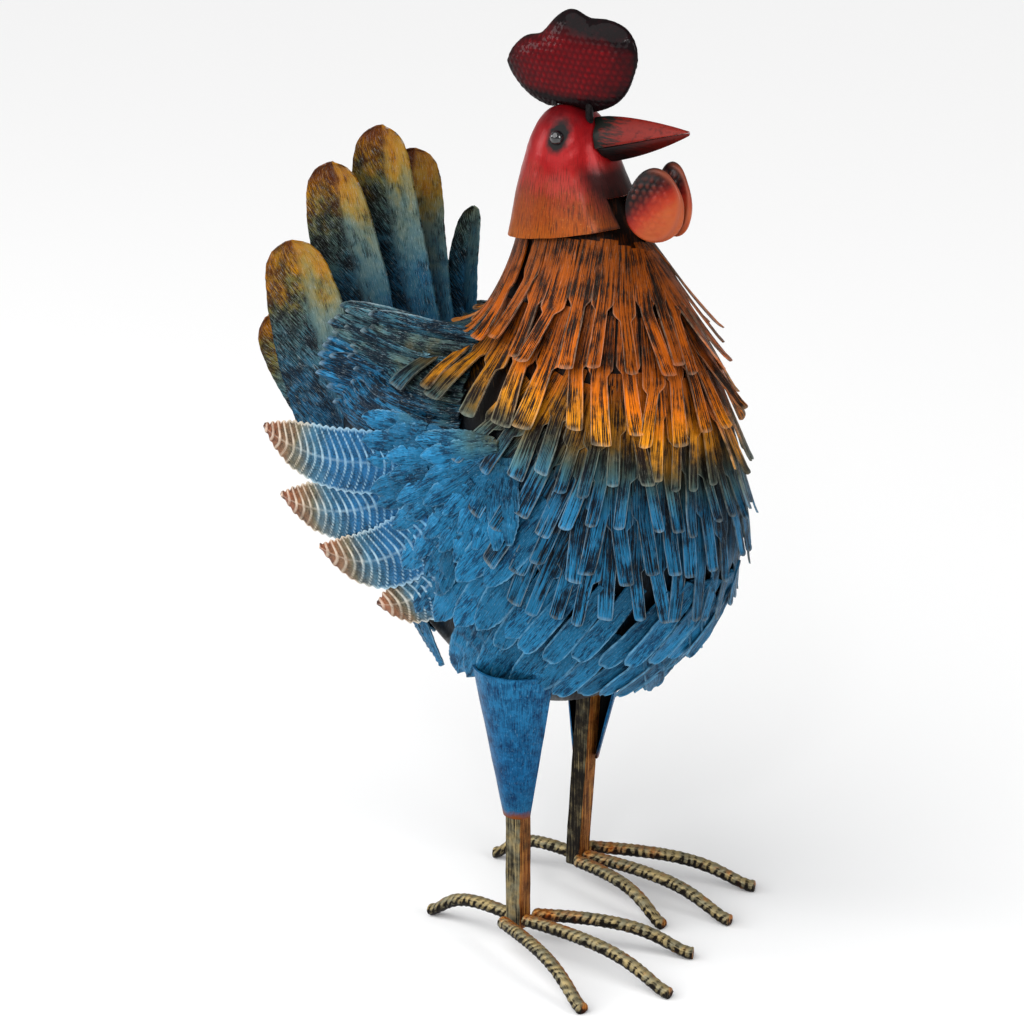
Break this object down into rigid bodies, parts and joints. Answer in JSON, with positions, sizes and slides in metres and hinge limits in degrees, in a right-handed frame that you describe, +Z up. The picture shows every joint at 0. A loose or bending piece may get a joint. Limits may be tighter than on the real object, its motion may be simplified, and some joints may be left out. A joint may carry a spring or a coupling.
{
  "type": "metal rooster figure",
  "caption": "Standing sheet-metal rooster garden figure with overlapping cut feathers, pressed comb, fanned tail, rolled thighs, square-tube legs and bar toes.",
  "frame": {"origin": "on the floor at the centre of the figure's box, between the feet", "axes": "+X is the way the rooster faces, +Y its left side, +Z up"},
  "size_m": [0.3066, 0.1918, 0.52],
  "materials": {
    "dark_steel": "dark burnished sheet",
    "amber_paint": "amber brushed over dark umber",
    "teal_paint": "grey-teal brushed over black, blue and gold at the ends",
    "blue_paint": "blue dry-brushed over black",
    "red_lacquer": "glossy translucent red lacquer over black",
    "head_paint": "satin red fading to orange",
    "black_gloss": "gloss black",
    "rubbed_bronze": "bronze and rust rubbed over black"
  },
  "bodies": {
    "root": {"beak_lower": "black_gloss", "beak_upper": "red_lacquer", "belly_row": "blue_paint", "body": "dark_steel", "breast_row_1": "teal_paint", "breast_row_2": "blue_paint", "breast_row_3": "blue_paint", "breast_row_4": "blue_paint", "comb": "red_lacquer", "comb_post_1": "dark_steel", "comb_post_2": "dark_steel", "covert_row_1_left": "blue_paint", "covert_row_1_right": "blue_paint", "covert_row_2_left": "blue_paint", "covert_row_2_right": "blue_paint", "eye_left": "black_gloss", "eye_right": "black_gloss", "flank_row_left": "blue_paint", "flank_row_right": "blue_paint", "head": "head_paint", "neck_row_1": "amber_paint", "neck_row_2": "amber_paint", "rump_row": "blue_paint", "saddle_left": "teal_paint", "saddle_right": "teal_paint", "saddle_row_1": "teal_paint", "shank_left": "rubbed_bronze", "shank_right": "rubbed_bronze", "tail_left_1": "teal_paint", "tail_left_2": "teal_paint", "tail_left_3": "teal_paint", "tail_left_4": "teal_paint", "tail_left_5": "teal_paint", "tail_right_1": "teal_paint", "tail_right_2": "teal_paint", "tail_right_3": "teal_paint", "tail_right_4": "teal_paint", "thigh_left": "blue_paint", "thigh_right": "blue_paint", "toe_back_left": "rubbed_bronze", "toe_back_right": "rubbed_bronze", "toe_inner_left": "rubbed_bronze", "toe_inner_right": "rubbed_bronze", "toe_middle_left": "rubbed_bronze", "toe_middle_right": "rubbed_bronze", "toe_outer_left": "rubbed_bronze", "toe_outer_right": "rubbed_bronze", "under_tail_feather": "dark_steel", "vent_row_1": "blue_paint", "vent_row_2": "blue_paint", "wattle_left": "red_lacquer", "wattle_right": "red_lacquer", "wing_quill_1_left": "blue_paint", "wing_quill_1_right": "blue_paint", "wing_quill_2_left": "blue_paint", "wing_quill_2_right": "blue_paint", "wing_quill_3_left": "blue_paint", "wing_quill_3_right": "blue_paint", "wing_quill_4_left": "blue_paint", "wing_quill_4_right": "blue_paint"}
  },
  "joints": []
}
